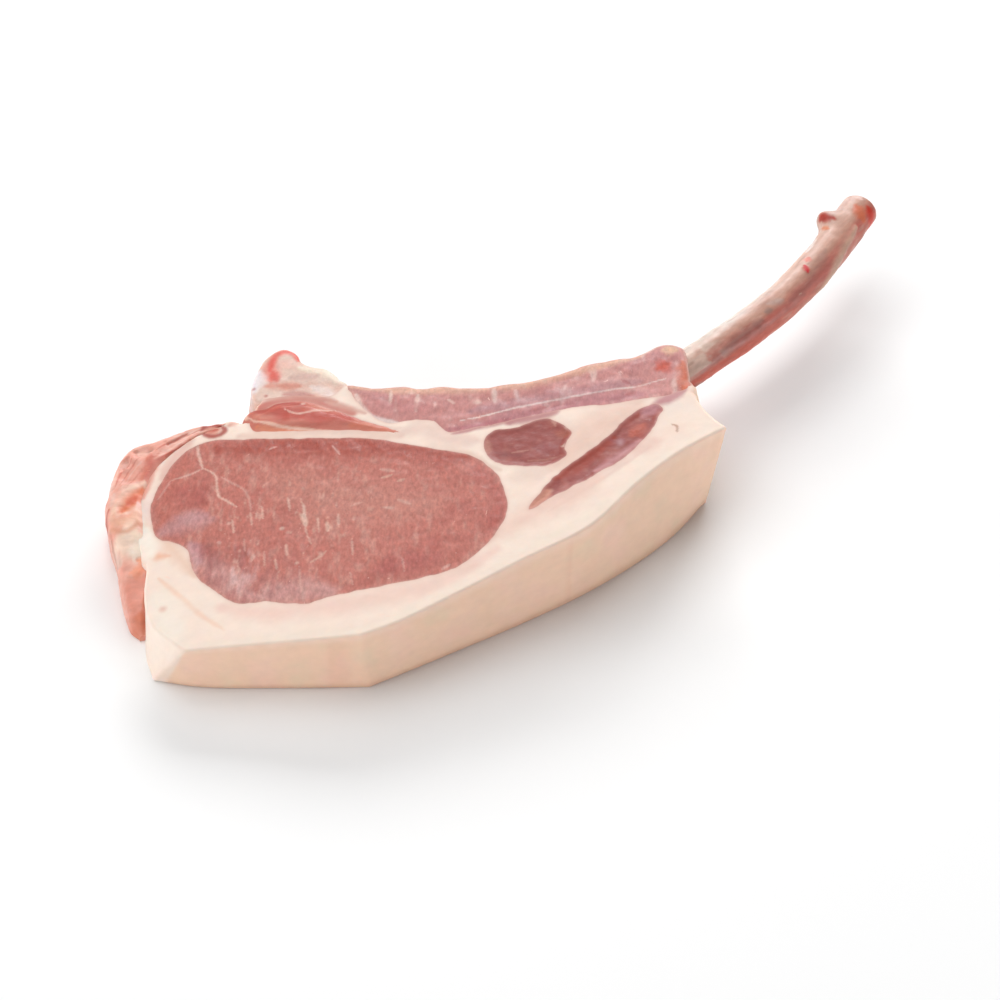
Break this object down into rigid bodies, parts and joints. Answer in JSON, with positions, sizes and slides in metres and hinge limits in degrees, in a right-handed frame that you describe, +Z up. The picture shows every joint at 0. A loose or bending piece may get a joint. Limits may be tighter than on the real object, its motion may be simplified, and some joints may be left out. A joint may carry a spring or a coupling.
{
  "type": "raw pork rib chop",
  "caption": "Raw pork rib chop lying flat: round loin eye, darker side muscles and rib lean in a thick cap of white fat, with a long scraped rib bone.",
  "frame": {"origin": "middle of the whole chop's bounding box, at the height of the floor it lies on", "axes": "+X from the backbone end towards the free end of the rib bone, +Y away from the back fat towards the rib side, +Z up, out of the upper cut face"},
  "size_m": [0.2198, 0.168, 0.0317],
  "materials": {
    "raw_fat": "cream raw back fat, waxy with a soft sheen",
    "loin_lean": "pink-red raw loin muscle, moist, fine grained with pale marbling",
    "dark_lean": "darker purple-red raw muscle, moist",
    "rib_lean": "pink raw rib meat with pale streaks, moist",
    "chine_lean": "orange-red raw lean, folded, moist and smooth",
    "chain_lean": "orange-pink raw lean flap with cream fat, moist",
    "sawn_bone": "sawn pink bone end with a red rim and cream cartilage",
    "scraped_bone": "scraped rib bone, ivory to reddish brown, moist"
  },
  "bodies": {
    "root": {"fat_cap": "raw_fat", "loin_eye": "loin_lean", "cap_muscle": "dark_lean", "strip_muscle": "dark_lean", "rib_lean": "rib_lean", "chine_lean": "chine_lean", "chain_lean": "chain_lean", "bone_stub": "sawn_bone", "rib_bone": "scraped_bone"}
  },
  "joints": []
}
